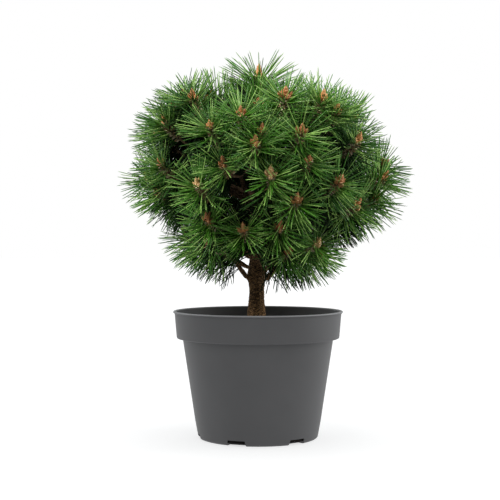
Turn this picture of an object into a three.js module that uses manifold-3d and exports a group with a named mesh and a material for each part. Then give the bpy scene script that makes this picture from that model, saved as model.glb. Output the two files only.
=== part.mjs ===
// A mugo pine in its nursery pot. Millimetres, +Z up, -Y to the front, +X to the right.
// The origin is the middle of the pot's flat underside.
//
// The trunk stands in the potting mix and carries five whorls of boughs. Each bough ends in a
// ring of shoots, and each shoot is a brush of needles round a bud cluster. The buds all lie on
// one rounded crown, so a mass of needles is given by its bearing and elevation there.

import * as THREE from "three";
import { mergeVertices } from "three/addons/utils/BufferGeometryUtils.js";
import Module from "manifold-3d";

const wasm = await Module();
wasm.setup();

const DEGREE = Math.PI / 180;
const CLEARANCE = 0.3; // between pieces that touch

// ---- The pot: 19 cm across, 3 litres ----
const POT_HEIGHT = 142;
const RIM_RADIUS = 95; // over the rolled lip
const LIP_WIDTH = 1.3;
const LIP_HEIGHT = 2.2;
const LIP_BEVEL = 0.5;
const COLLAR_HEIGHT = 30.5;
const COLLAR_FOOT_RADIUS = 91.1;
const COLLAR_ROUNDING = 1.5;
const BODY_TOP_RADIUS = 84.5;
const FOOT_RADIUS = 67.5;
const FOOT_ROUNDING = 3.5;
const POT_WALL = 1.8;
const POT_FLOOR = 2.6;
const POT_SIDES = 36;
const SLOT_COUNT = 6;
const SLOT_FIRST_BEARING = -51; // from +X, anticlockwise
const SLOT_FOOT_WIDTH = 22;
const SLOT_TOP_WIDTH = 18;
const SLOT_HEIGHT = 6;
const SLOT_INSET = 11; // how far it cuts in under the pot

// ---- The potting mix ----
const SOIL_TOP = 121;
const SOIL_SINK = 1.8; // how far it has settled at the wall
const SOIL_HOLLOWS = [
  { radius: 74, sink: 0.6 },
  { radius: 50, sink: 1.2 },
  { radius: 24, sink: 0 },
  { radius: 0, sink: 0 },
];
const SOIL_SIDES = 18; // half the pot's, so that its corners stand in the pot's

// ---- The trunk: height, sideways lean and radius from its root flare to its tip ----
const TRUNK_STATIONS = [
  { z: 121.3, x: -1.9, radius: 12.9 },
  { z: 129, x: -1.9, radius: 11.7 },
  { z: 142, x: -1.8, radius: 11.1 },
  { z: 156, x: -1.6, radius: 9.6 },
  { z: 167, x: -1.4, radius: 9.4 },
  { z: 176, x: -1.5, radius: 10.8 },
  { z: 184, x: -2.2, radius: 11.0 },
  { z: 196, x: -3.2, radius: 7.6 },
  { z: 216, x: -3.2, radius: 6.3 },
  { z: 245, x: -1.6, radius: 6.0 },
  { z: 284, x: 0.4, radius: 4.9 },
  { z: 326, x: 1.2, radius: 3.7 },
  { z: 362, x: 1.0, radius: 2.9 },
];
const TRUNK_SIDES = 10;
const LEADER_BUD_HEIGHT = 403;
// the shoots round it: bearing, elevation and how far inside the crown
const LEADER_RING = [
  [-98, 51, 34],
  [-5, 36, 18],
  [-18, 60, 36],
  [95, 56, 22],
  [175, 57, 22],
];
const LEADER_RING_RISE = 6; // how far up the leader they start, and how far they dip

// ---- The crown: where the buds lie ----
const CROWN_CENTRE = new THREE.Vector3(9, 0, 285);
const CROWN_REACH = 131; // from its centre to the buds
const CROWN_SAG = 0.24; // how much less it reaches straight down
const CROWN_SHOULDER = 0.05; // and how much more halfway up
const SHOOT_AIM = new THREE.Vector3(2, 0, 204); // shoots point away from here, low in the trunk
const AIM_DROP = 30; // how much lower it lies for a bud a whole reach below the crown's centre

// ---- The boughs: each whorl leaves the trunk at one height, in three steps that follow one another
// round it, so that neighbours do not touch.
// A bough is [bearing, elevation on the crown, shoots at its end, turn of the ring of shoots],
// with bearings from +X, anticlockwise, so -90 is the front.
const WHORLS = [
  {
    name: "low",
    leaves: 172,
    boughs: [
      [-146, -38, 2, 0],
      [-74, -44, 1, 0],
      [-45, -43, 2, 145],
      [52, -40, 2, 30],
      [92, -37, 2, 100],
      [148, -37, 2, 30],
    ],
  },
  {
    name: "second",
    leaves: 199,
    boughs: [
      [-124, -13, 2, 88],
      [-94, -28, 2, 10],
      [-28, -12, 2, 195],
      [42, -9, 2, 60],
      [98, -14, 3, 30],
      [132, -8, 2, 45],
    ],
  },
  {
    name: "third",
    leaves: 224,
    boughs: [
      [-157, 1, 2, 50],
      [-82, -6, 2, -45],
      [-63, 3, 2, -35],
      [-8, 4, 2, 25],
      [62, 14, 3, 90],
      [108, 13, 2, 30],
      [163, 6, 3, -10],
    ],
  },
  {
    name: "fourth",
    leaves: 254,
    boughs: [
      [-107, 18, 4, 68],
      [-84, 20, 2, -8],
      [-47, 24, 2, 120],
      [30, 19, 2, 70],
      [156, 30, 2, 10],
      [-164, 30, 2, 45],
    ],
  },
  {
    name: "top",
    leaves: 292,
    boughs: [
      [-147, 35, 3, 10],
      [-70, 35, 2, -5],
      [48, 34, 3, 30],
      [112, 38, 3, 0],
    ],
  },
];
const WHORL_STAGGER = 8;
const BOUGH_RADIUS = 3.3;
const BOUGH_TIP_RADIUS = 2.3;
const BOUGH_SHARE = 0.72; // of the way from the trunk to the fork, the rest is the mass's stem
const BOUGH_BEND = { run: 0.6, rise: 0.3 }; // shares of the way out and up where it turns up
const BOUGH_SIDES = 5;
const BOUGH_STEPS = 3;
const BARE_STEM_WHORL = "top"; // these masses spring from the trunk itself, on longer stems
const BARE_STEM_HIDDEN = 0.15; // share of such a stem inside the trunk

// ---- The shoots ----
const FORK_DEPTH = 50; // how far behind its buds a bough forks
const RING_RADIUS = [0, 0, 20, 24, 28]; // of the ring of shoots, by their number
const RING_TURN_JITTER = 16;
const RING_RADIUS_JITTER = 0.2;
const BUD_LEVEL_JITTER = 8;
const SHOOT_BEND = 0.55; // share of a shoot that is already on its bud's heading
const SHOOT_RADIUS = 2.4;
const SHOOT_SIDES = 4;
const SHOOT_SINK = 4; // how far a shoot starts inside the stem that bears it

// ---- The needles: each stands for the pairs round it, so they are larger than life ----
const NEEDLE_RINGS = 5; // rows of needles up a shoot, two to each side of it
const NEEDLES_FROM = 0.22; // share of the shoot that is bare
const NEEDLE_LENGTH = 38;
const NEEDLE_LENGTH_JITTER = 0.12;
const NEEDLE_TRIES = [1, 0.85, 0.7, 0.55]; // shares of its length at which it may still fit
const NEEDLE_SPREAD_BACK = 86; // degrees off the shoot, for the hindmost
const NEEDLE_SPREAD_TIP = 28;
const NEEDLE_JITTER = 7; // degrees
const SPACE_CHECKS = [0.3, 0.5, 0.75, 1]; // shares of a needle where its space is tested
const SPACE_MARGIN = 1.3; // how much nearer its own twigs a needle keeps than any other's
const LIMB_MARGIN = 1.4;
const NEEDLE_HALF_WIDTH = 1.8; // at its root, from which it tapers to a point
const NEEDLE_GAP = 0.4; // between needles of neighbouring shoots

// ---- The buds ----
const BUD_LENGTH = 12;
const BUD_RADIUS = 2.9;
const BUD_SHOULDER = 0.3; // share of its length where it is thickest
const SIDE_BUD_LENGTH = 8;
const SIDE_BUD_TILT = 40;

const FLATNESS = 0.05; // facets of a mass nearer to flat than this are joined
const UP = new THREE.Vector3(0, 0, 1);

const potPlastic = { color: 0x545557, roughness: 0.55, metalness: 0 };
const pottingMix = { color: 0x33261c, roughness: 1, metalness: 0 };
const bark = { color: 0x4b3523, roughness: 0.9, metalness: 0 };
const needleGreen = { color: 0x2f6a2c, roughness: 0.6, metalness: 0 };

// Whole numbers below 2^32, so the same seed gives the same shoots everywhere.
function seededRandom(seed) {
  let state = (seed * 7919) % 4294967296;
  const next = () => {
    state = (state * 1664525 + 1013904223) % 4294967296;
    return state / 4294967296;
  };
  for (let warmUp = 0; warmUp < 3; warmUp++) next();
  return next;
}

// A closed three.js geometry as a solid, with its vertices shared and its poles closed.
function solid(geometry) {
  const bare = new THREE.BufferGeometry();
  bare.setAttribute("position", geometry.getAttribute("position"));
  if (geometry.index) bare.setIndex(geometry.index);
  const merged = mergeVertices(bare, 1e-4);
  const corners = merged.index.array;
  const triVerts = [];
  for (let i = 0; i < corners.length; i += 3) {
    const [a, b, c] = corners.subarray(i, i + 3);
    if (a !== b && b !== c && c !== a) triVerts.push(a, b, c);
  }
  const vertProperties = merged.getAttribute("position").array;
  return new wasm.Manifold(
    new wasm.Mesh({ numProp: 3, vertProperties, triVerts: new Uint32Array(triVerts) }),
  );
}

// A solid as one named mesh.
function namedMesh(name, body, finish) {
  const { vertProperties, triVerts } = body.getMesh();
  const geometry = new THREE.BufferGeometry();
  geometry.setAttribute("position", new THREE.BufferAttribute(vertProperties, 3));
  geometry.setIndex(new THREE.BufferAttribute(triVerts, 1));
  geometry.computeVertexNormals();
  const mesh = new THREE.Mesh(geometry, new THREE.MeshStandardMaterial(finish));
  mesh.name = name;
  return mesh;
}

// A profile of [radius, height] turned round the Z axis.
function turned(profile, sides) {
  const points = profile.map(([radius, height]) => new THREE.Vector2(radius, height));
  return solid(new THREE.LatheGeometry(points, sides).rotateX(Math.PI / 2));
}

// The points of a quarter round under an outside edge, for a profile: from its foot out to its side.
function rounding(edge, foot, radius, steps) {
  return Array.from({ length: steps + 1 }, (_, i) => {
    const angle = (90 * DEGREE * i) / steps;
    return [edge - radius * (1 - Math.sin(angle)), foot + radius * (1 - Math.cos(angle))];
  });
}

// The direction square to the plane that a curve bends in.
function planeNormal(curve) {
  const start = curve.getTangent(0);
  const normal = new THREE.Vector3().crossVectors(start, curve.getTangent(1));
  if (normal.length() < 0.01) normal.crossVectors(start, new THREE.Vector3(1, 0, 0));
  return normal.normalize();
}

// A cylinder's rings laid along a curve. Each ring gives its share of the curve, its radius, and
// how far past the curve's end it lies.
function alongCurve(curve, rings, sides) {
  const geometry = new THREE.CylinderGeometry(1, 1, 1, sides, rings.length - 1);
  const position = geometry.getAttribute("position");
  const over = planeNormal(curve);
  for (let i = 0; i < position.count; i++) {
    const ring = rings[Math.round((position.getY(i) + 0.5) * (rings.length - 1))];
    const heading = curve.getTangent(ring.along);
    const right = new THREE.Vector3().crossVectors(over, heading);
    const point = curve.getPoint(ring.along).addScaledVector(heading, ring.past ?? 0);
    point.addScaledVector(right, position.getX(i) * ring.radius);
    point.addScaledVector(over, -position.getZ(i) * ring.radius);
    position.setXYZ(i, point.x, point.y, point.z);
  }
  return geometry;
}

// A tapering limb along part of a curve, with flat ends. radiusAt takes 0 to 1 along the curve.
function limb(curve, from, to, radiusAt, sides, steps) {
  const rings = Array.from({ length: steps + 1 }, (_, i) => {
    const along = from + ((to - from) * i) / steps;
    return { along, radius: radiusAt(along) };
  });
  return solid(alongCurve(curve, rings, sides));
}

// ---- Pot and potting mix ----

const collarFoot = POT_HEIGHT - COLLAR_HEIGHT;
const collarTopRadius = RIM_RADIUS - LIP_WIDTH;
const ledge = collarFoot + POT_WALL; // inside the pot, where the collar stands out from the body

// Outside radius of the body's sloping wall at a height.
function bodyRadius(height) {
  return THREE.MathUtils.mapLinear(height, 0, collarFoot, FOOT_RADIUS, BODY_TOP_RADIUS);
}

// Inside radius of the collar at a height.
function collarInside(height) {
  const outside = [COLLAR_FOOT_RADIUS, collarTopRadius];
  return THREE.MathUtils.mapLinear(height, ledge, POT_HEIGHT, ...outside) - POT_WALL;
}

function makePot() {
  const shell = turned(
    [
      [0, 0],
      ...rounding(FOOT_RADIUS, 0, FOOT_ROUNDING, 3),
      [BODY_TOP_RADIUS, collarFoot],
      ...rounding(COLLAR_FOOT_RADIUS, collarFoot, COLLAR_ROUNDING, 2),
      [collarTopRadius, POT_HEIGHT - LIP_HEIGHT],
      [RIM_RADIUS, POT_HEIGHT - LIP_HEIGHT],
      [RIM_RADIUS, POT_HEIGHT - LIP_BEVEL],
      [RIM_RADIUS - LIP_BEVEL, POT_HEIGHT],
      [collarInside(POT_HEIGHT), POT_HEIGHT],
      [collarInside(ledge), ledge],
      [bodyRadius(ledge) - POT_WALL, ledge],
      [bodyRadius(POT_FLOOR) - POT_WALL, POT_FLOOR],
      [0, POT_FLOOR],
    ],
    POT_SIDES,
  );
  return Array.from({ length: SLOT_COUNT }, (_, i) => drainSlot(i)).reduce(
    (pot, slot) => pot.subtract(slot),
    shell,
  );
}

// One slot through the pot's bottom edge, wider at its foot. Its cutter stands out on all sides.
function drainSlot(index) {
  const outline = new THREE.Shape([
    new THREE.Vector2(-SLOT_FOOT_WIDTH / 2, -CLEARANCE),
    new THREE.Vector2(SLOT_FOOT_WIDTH / 2, -CLEARANCE),
    new THREE.Vector2(SLOT_TOP_WIDTH / 2, SLOT_HEIGHT),
    new THREE.Vector2(-SLOT_TOP_WIDTH / 2, SLOT_HEIGHT),
  ]);
  const depth = 2 * SLOT_INSET;
  const geometry = new THREE.ExtrudeGeometry(outline, { depth, bevelEnabled: false });
  geometry.rotateX(Math.PI / 2).rotateZ(Math.PI / 2);
  geometry.translate(FOOT_RADIUS - SLOT_INSET, 0, 0);
  geometry.rotateZ((SLOT_FIRST_BEARING + (360 / SLOT_COUNT) * index) * DEGREE);
  return solid(geometry);
}

function makePottingMix() {
  const onLedge = ledge + CLEARANCE;
  const inset = POT_WALL + CLEARANCE;
  const floor = POT_FLOOR + CLEARANCE;
  const edge = SOIL_TOP - SOIL_SINK;
  return turned(
    [
      [0, floor],
      [bodyRadius(floor) - inset, floor],
      [bodyRadius(onLedge) - inset, onLedge],
      [collarInside(onLedge) - CLEARANCE, onLedge],
      [collarInside(edge) - CLEARANCE, edge],
      ...SOIL_HOLLOWS.map(({ radius, sink }) => [radius, SOIL_TOP - sink]),
    ],
    SOIL_SIDES,
  );
}

// ---- Trunk and boughs ----

const trunkLine = new THREE.CatmullRomCurve3(
  TRUNK_STATIONS.map(({ x, z }) => new THREE.Vector3(x, 0, z)),
);

// The trunk's station at a height: where its axis is, and how thick it is.
function trunkAt(height) {
  const after = Math.max(
    1,
    TRUNK_STATIONS.findIndex(({ z }) => z >= height),
  );
  const [low, high] = [TRUNK_STATIONS[after - 1], TRUNK_STATIONS[after]];
  const share = THREE.MathUtils.clamp((height - low.z) / (high.z - low.z), 0, 1);
  return {
    centre: new THREE.Vector3(THREE.MathUtils.lerp(low.x, high.x, share), 0, height),
    radius: THREE.MathUtils.lerp(low.radius, high.radius, share),
  };
}

function makeTrunk(growth = 0) {
  const radiusAt = (along) => trunkAt(trunkLine.getPoint(along).z).radius + growth;
  return limb(trunkLine, 0, 1, radiusAt, TRUNK_SIDES, TRUNK_STATIONS.length - 1);
}

// How far the crown reaches from its centre at an elevation.
function crownReach(elevation) {
  const sag = CROWN_SAG * Math.max(0, -Math.sin(elevation * DEGREE));
  const shoulder = CROWN_SHOULDER * Math.max(0, Math.sin(2 * elevation * DEGREE));
  return CROWN_REACH * (1 - sag + shoulder);
}

// A point on the crown, where a bud lies.
function onCrown(bearing, elevation, outward = 0) {
  const turn = bearing * DEGREE;
  const rise = elevation * DEGREE;
  const reach = crownReach(elevation) + outward;
  return new THREE.Vector3(
    Math.cos(rise) * Math.cos(turn),
    Math.cos(rise) * Math.sin(turn),
    Math.sin(rise),
  )
    .multiplyScalar(reach)
    .add(CROWN_CENTRE);
}

// A shoot points away from low in the trunk, and turns up more on the crown's underside.
function shootHeading(bud) {
  const droop = Math.max(0, CROWN_CENTRE.z - bud.z) / CROWN_REACH;
  return bud.clone().sub(SHOOT_AIM).addScaledVector(UP, AIM_DROP * droop).normalize();
}

// The buds of one bough's ring of shoots, spread round its own place on the crown.
function ringOfBuds([bearing, elevation, count, turn], seed) {
  const random = seededRandom(seed);
  const reach = crownReach(elevation);
  return Array.from({ length: count }, (_, i) => {
    const angle = (turn + (360 * i) / count + (random() - 0.5) * RING_TURN_JITTER) * DEGREE;
    const radius = RING_RADIUS[count] * (1 + (random() - 0.5) * RING_RADIUS_JITTER);
    const sideways = (radius * Math.cos(angle)) / (reach * Math.cos(elevation * DEGREE));
    const upwards = (radius * Math.sin(angle)) / reach;
    return onCrown(
      bearing + sideways / DEGREE,
      elevation + upwards / DEGREE,
      (random() - 0.5) * BUD_LEVEL_JITTER,
    );
  });
}

// A shoot starts inside the stem that bears it, and turns up towards its bud's heading.
function shootCurve(carrier, bud) {
  const fork = carrier.getPoint(1).addScaledVector(carrier.getTangent(1), -SHOOT_SINK);
  const straight = SHOOT_BEND * fork.distanceTo(bud);
  const bend = bud.clone().addScaledVector(shootHeading(bud), -straight);
  return new THREE.QuadraticBezierCurve3(fork, bend, bud);
}

// A bough runs out from the trunk and turns up to its fork.
function boughCurve(bearing, leaves, fork) {
  const foot = trunkAt(leaves).centre;
  const run = new THREE.Vector3(fork.x - foot.x, fork.y - foot.y, 0);
  const bend = foot.clone().addScaledVector(run, BOUGH_BEND.run);
  bend.z += BOUGH_BEND.rise * (fork.z - foot.z);
  return new THREE.QuadraticBezierCurve3(foot, bend, fork);
}

// Every mass of needles: its name, the curve that carries it and its shoots' curves.
const masses = WHORLS.flatMap(({ name, leaves, boughs }, whorl) =>
  boughs.map((bough, place) => {
    const [bearing, elevation] = bough;
    const seed = 100 * whorl + place + 1;
    const middle = onCrown(bearing, elevation);
    const fork = middle.clone().addScaledVector(shootHeading(middle), -FORK_DEPTH);
    const isOddOneOut = place === boughs.length - 1 && place % 3 === 0;
    const step = isOddOneOut ? 1 : place % 3;
    const carrier = boughCurve(bearing, leaves + WHORL_STAGGER * step, fork);
    const shoots = ringOfBuds(bough, seed).map((bud) => shootCurve(carrier, bud));
    const fromTrunk = name === BARE_STEM_WHORL;
    return { name: `${name}_${place + 1}`, seed, carrier, shoots, fromTrunk };
  }),
);

// The leader goes on from the trunk's tip, with a ring of shoots springing from its foot.
const leaderFoot = trunkLine.getPoint(1).add(new THREE.Vector3(0, 0, CLEARANCE));
const leaderBud = new THREE.Vector3(leaderFoot.x, 0, LEADER_BUD_HEIGHT);
const leaderRing = LEADER_RING.map(([bearing, elevation, inside]) => {
  const bud = onCrown(bearing, elevation, -inside);
  const start = leaderFoot.clone().addScaledVector(UP, LEADER_RING_RISE);
  const bend = leaderFoot.clone().lerp(bud, 0.5).addScaledVector(UP, -LEADER_RING_RISE);
  return new THREE.QuadraticBezierCurve3(start, bend, bud);
});
masses.push({
  name: "leader",
  seed: 900,
  carrier: null,
  shoots: [new THREE.LineCurve3(leaderFoot, leaderBud), ...leaderRing],
  fromTrunk: true,
});

const boughRadius = (along) => THREE.MathUtils.lerp(BOUGH_RADIUS, BOUGH_TIP_RADIUS, along);

// ---- Needle masses ----

// The straight pieces of a curve from one share of it to another.
function pieces(curve, from = 0, to = 1, count = 4) {
  const points = Array.from({ length: count + 1 }, (_, i) =>
    curve.getPoint(from + ((to - from) * i) / count),
  );
  return points.slice(1).map((point, i) => new THREE.Line3(points[i], point));
}

const nearest = new THREE.Vector3();

function distanceTo(lines, point) {
  let least = Infinity;
  for (const line of lines) {
    line.closestPointToPoint(point, true, nearest);
    least = Math.min(least, nearest.distanceTo(point));
  }
  return least;
}

// Where two straight pieces come nearest: the share along each, and the distance between them.
function nearestApproach(first, second) {
  const a = first.delta(new THREE.Vector3());
  const b = second.delta(new THREE.Vector3());
  const apart = new THREE.Vector3().subVectors(first.start, second.start);
  const [aa, ab, bb, aw, bw] = [a.dot(a), a.dot(b), b.dot(b), a.dot(apart), b.dot(apart)];
  const spread = aa * bb - ab * ab;
  const guess = spread > 1e-9 ? THREE.MathUtils.clamp((ab * bw - aw * bb) / spread, 0, 1) : 0;
  const onSecond = THREE.MathUtils.clamp((ab * guess + bw) / bb, 0, 1);
  const onFirst = THREE.MathUtils.clamp((ab * onSecond - aw) / aa, 0, 1);
  const distance = apart.addScaledVector(a, onFirst).addScaledVector(b, -onSecond).length();
  return { onFirst, onSecond, distance };
}

// Whether a needle keeps clear of round pieces of one radius, and of tapering needles.
function clears(needle, lines, radius, tapers) {
  return lines.every((line) => {
    const { onFirst, onSecond, distance } = nearestApproach(needle, line);
    const width = NEEDLE_HALF_WIDTH * (1 - onFirst) + radius * (tapers ? 1 - onSecond : 1);
    return distance > width + NEEDLE_GAP;
  });
}

for (const mass of masses) {
  const from = mass.fromTrunk ? BARE_STEM_HIDDEN : BOUGH_SHARE;
  mass.stem = mass.carrier ? pieces(mass.carrier, from, 1) : [];
  mass.twigs = [...mass.shoots.flatMap((shoot) => pieces(shoot)), ...mass.stem];
}
for (const mass of masses) {
  mass.others = masses.filter((other) => other !== mass).flatMap((other) => other.twigs);
}
const trunkPieces = pieces(trunkLine, 0, 1, 2 * TRUNK_STATIONS.length);
const boughPieces = masses
  .filter((mass) => !mass.fromTrunk)
  .flatMap((mass) => pieces(mass.carrier, 0, BOUGH_SHARE));

// Whether a needle keeps to its mass's own space, clear of limbs, twigs and other needles.
function fits(mass, siblings, needle, placed) {
  const keepsToItsSpace = SPACE_CHECKS.every((along) => {
    const point = needle.at(along, new THREE.Vector3());
    return distanceTo(mass.twigs, point) + SPACE_MARGIN < distanceTo(mass.others, point);
  });
  const clearsTrunk = trunkPieces.every(
    (piece) =>
      nearestApproach(needle, piece).distance >
      trunkAt(piece.start.z).radius + NEEDLE_HALF_WIDTH + LIMB_MARGIN,
  );
  return (
    keepsToItsSpace &&
    clearsTrunk &&
    clears(needle, boughPieces, BOUGH_RADIUS + LIMB_MARGIN, false) &&
    clears(needle, mass.stem, BOUGH_RADIUS, false) &&
    clears(needle, siblings, SHOOT_RADIUS, false) &&
    clears(needle, placed, NEEDLE_HALF_WIDTH, true)
  );
}

// The rings of a shoot: its bare foot, its rows of needles, and the middle bud at its end.
function shootRings() {
  const rows = Array.from({ length: NEEDLE_RINGS + 1 }, (_, i) => ({
    along: NEEDLES_FROM + ((1 - NEEDLES_FROM) * i) / NEEDLE_RINGS,
    radius: SHOOT_RADIUS,
  }));
  return [
    { along: 0, radius: SHOOT_RADIUS },
    ...rows,
    { along: 1, radius: BUD_RADIUS, past: BUD_SHOULDER * BUD_LENGTH },
    { along: 1, radius: 0, past: BUD_LENGTH },
  ];
}

// The point that a face of a shoot runs out to, at an angle off the shoot's heading.
function runOut(shoot, ring, middle, angle, length) {
  const heading = shoot.getTangent(ring.along);
  const axis = shoot.getPoint(ring.along).addScaledVector(heading, ring.past ?? 0);
  const outward = middle.clone().sub(axis).projectOnPlane(heading).normalize();
  const way = heading.multiplyScalar(Math.cos(angle * DEGREE));
  return middle.clone().addScaledVector(way.addScaledVector(outward, Math.sin(angle * DEGREE)), length);
}

// A shoot as one closed mesh: a tube whose faces run out into needles, and, round the middle bud,
// into the side buds. A needle that doesn't fit even when shorter leaves its face flat.
function makeShoot(mass, shoot, placed, random) {
  const rings = shootRings();
  const geometry = alongCurve(shoot, rings, SHOOT_SIDES);
  const tube = geometry.index.array;
  const position = geometry.getAttribute("position");
  const siblings = mass.shoots.filter((other) => other !== shoot).flatMap((other) => pieces(other));
  const points = Array.from(position.array);
  const faces = [];
  const own = [];
  const corner = (i) => new THREE.Vector3().fromBufferAttribute(position, i);
  const ringOf = (i) => Math.floor(i / (SHOOT_SIDES + 1));
  const sideVertices = (SHOOT_SIDES + 1) * rings.length;
  for (let i = 0; i < tube.length; i += 3) {
    const face = Array.from(tube.subarray(i, i + 3));
    const bands = face.map((vertex) => rings.length - 1 - ringOf(vertex));
    const band = Math.min(...bands);
    const isSide = face.every((vertex) => vertex < sideVertices);
    const middle = face.reduce((sum, vertex) => sum.add(corner(vertex)), new THREE.Vector3());
    middle.divideScalar(3);
    let tip = null;
    if (isSide && band >= 1 && band <= NEEDLE_RINGS) {
      const share = (band - 1 + (bands.filter((b) => b > band).length - 1)) / NEEDLE_RINGS;
      const spread = THREE.MathUtils.lerp(NEEDLE_SPREAD_BACK, NEEDLE_SPREAD_TIP, share);
      const angle = spread + (random() - 0.5) * NEEDLE_JITTER;
      const length = NEEDLE_LENGTH * (1 + (random() - 0.5) * NEEDLE_LENGTH_JITTER);
      tip = NEEDLE_TRIES.map((part) => runOut(shoot, rings[band], middle, angle, length * part))
        .find((end) => fits(mass, siblings, new THREE.Line3(middle, end), placed));
      if (tip) own.push(new THREE.Line3(middle, tip));
    } else if (isSide && band === NEEDLE_RINGS + 1 && bands.filter((b) => b > band).length === 1) {
      tip = runOut(shoot, rings[band], middle, SIDE_BUD_TILT, SIDE_BUD_LENGTH);
    }
    if (!tip) {
      faces.push(...face);
      continue;
    }
    const apex = points.push(tip.x, tip.y, tip.z) / 3 - 1;
    faces.push(face[0], face[1], apex, face[1], face[2], apex, face[2], face[0], apex);
  }
  placed.push(...own);
  const grown = new THREE.BufferGeometry();
  grown.setAttribute("position", new THREE.Float32BufferAttribute(points, 3));
  grown.setIndex(faces);
  return solid(grown);
}

function makeMass(mass, trunkSpace) {
  const random = seededRandom(mass.seed + 5000);
  const placed = [];
  const bodies = mass.shoots.map((shoot) => makeShoot(mass, shoot, placed, random));
  if (mass.carrier) {
    const from = mass.fromTrunk ? 0 : BOUGH_SHARE + CLEARANCE / mass.carrier.getLength();
    const stem = limb(mass.carrier, from, 1, boughRadius, BOUGH_SIDES, mass.fromTrunk ? 3 : 1);
    bodies.push(mass.fromTrunk ? stem.subtract(trunkSpace) : stem);
  }
  return wasm.Manifold.union(bodies).simplify(FLATNESS);
}

// ---- The whole plant ----

const plant = new THREE.Group();
const trunkSpace = makeTrunk(CLEARANCE);
plant.add(namedMesh("pot", makePot(), potPlastic));
plant.add(namedMesh("potting_mix", makePottingMix(), pottingMix));
plant.add(namedMesh("trunk", makeTrunk(), bark));
for (const mass of masses) {
  if (!mass.fromTrunk) {
    const bough = limb(mass.carrier, 0, BOUGH_SHARE, boughRadius, BOUGH_SIDES, BOUGH_STEPS);
    plant.add(namedMesh(`bough_${mass.name}`, bough.subtract(trunkSpace), bark));
  }
  plant.add(namedMesh(`needles_${mass.name}`, makeMass(mass, trunkSpace), needleGreen));
}

export default plant;
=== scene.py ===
import math

import bpy
import numpy as np
from mathutils import Euler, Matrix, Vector


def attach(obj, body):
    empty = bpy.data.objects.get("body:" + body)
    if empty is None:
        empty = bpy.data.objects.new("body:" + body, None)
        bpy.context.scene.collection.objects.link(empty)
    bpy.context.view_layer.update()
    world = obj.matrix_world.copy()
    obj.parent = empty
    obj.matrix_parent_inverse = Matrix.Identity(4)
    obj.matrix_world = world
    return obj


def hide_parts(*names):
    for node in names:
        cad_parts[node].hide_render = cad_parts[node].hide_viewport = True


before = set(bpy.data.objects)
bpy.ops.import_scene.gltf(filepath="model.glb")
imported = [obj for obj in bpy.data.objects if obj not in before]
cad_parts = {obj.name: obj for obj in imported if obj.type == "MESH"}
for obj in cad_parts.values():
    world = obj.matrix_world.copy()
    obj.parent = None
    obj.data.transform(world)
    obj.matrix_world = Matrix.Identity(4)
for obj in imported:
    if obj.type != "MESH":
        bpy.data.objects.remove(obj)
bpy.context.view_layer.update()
scene = bpy.context.scene


# ---- Camera ----
# A long lens on a stand, a metre and a third in front of the plant, level with the lower part of
# its crown and tipped down by half a degree.
CAMERA_PLACE = (-0.00898, -1.32724, 0.22248)
CAMERA_DIP = 0.5385  # degrees
LENS_LENGTH = 85.13  # millimetres
FILM_WIDTH = 36  # millimetres
FARTHEST_SEEN = 50

bpy.ops.object.camera_add(location=CAMERA_PLACE, rotation=(math.radians(90 - CAMERA_DIP), 0, 0))
camera = bpy.context.object
camera.data.sensor_width = FILM_WIDTH
camera.data.lens = LENS_LENGTH
camera.data.clip_end = FARTHEST_SEEN
scene.camera = camera


# ---- Studio ----
# White paper that runs out into a white room, which glows most behind and below, and less at the
# sides and above. Two wide side lamps and a top lamp model the crown, a soft front lamp is for
# the pot alone, and a tall strip of light at each side draws the pot's edges.
FLOOR_RADIUS = 12
PAPER_GREY = (0.47, 0.47, 0.47)
PAPER_GLOW = 0.70
WHITE = (1, 1, 1, 1)
ROOM_TINT = (0.95, 0.98, 1, 1)
ROOM_GLOW = 0.10
STRIP_AIM = Vector((0, 0, 0.15))
STRIP_WIDTH = 0.4
STRIP_HEIGHT = 1.2


def plain_material(name, colour, roughness, specular=0.5, glow=0.0):
    """One colour and one finish all over."""
    material = bpy.data.materials.new(name)
    material.use_nodes = True
    finish = material.node_tree.nodes["Principled BSDF"].inputs
    finish["Base Color"].default_value = (*colour, 1)
    finish["Roughness"].default_value = roughness
    finish["Specular IOR Level"].default_value = specular
    finish["Emission Color"].default_value = WHITE
    finish["Emission Strength"].default_value = glow
    return material


def ranged(tree, reading, start, end, low=0.0, high=1.0):
    """A reading that runs from start to end, made to run from low to high."""
    share = tree.nodes.new("ShaderNodeMapRange")
    for name, value in zip(("From Min", "From Max", "To Min", "To Max"), (start, end, low, high)):
        share.inputs[name].default_value = value
    tree.links.new(reading, share.inputs["Value"])
    return share.outputs["Result"]


def worked_out(tree, operation, *readings):
    """A sum or a product of readings, some of which may be plain numbers."""
    node = tree.nodes.new("ShaderNodeMath")
    node.operation = operation
    for socket, reading in zip(node.inputs, readings):
        if isinstance(reading, float):
            socket.default_value = reading
        else:
            tree.links.new(reading, socket)
    return node.outputs["Value"]


bpy.ops.mesh.primitive_circle_add(
    vertices=96, radius=FLOOR_RADIUS, fill_type="NGON", location=(0, 0, 0)
)
floor = bpy.context.object
floor.name = "studio_floor"
# the glow of the room from below stands for the light that the paper would throw back
floor.visible_diffuse = False
floor.data.materials.append(plain_material("white_paper", PAPER_GREY, 1, 0, PAPER_GLOW))

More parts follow.
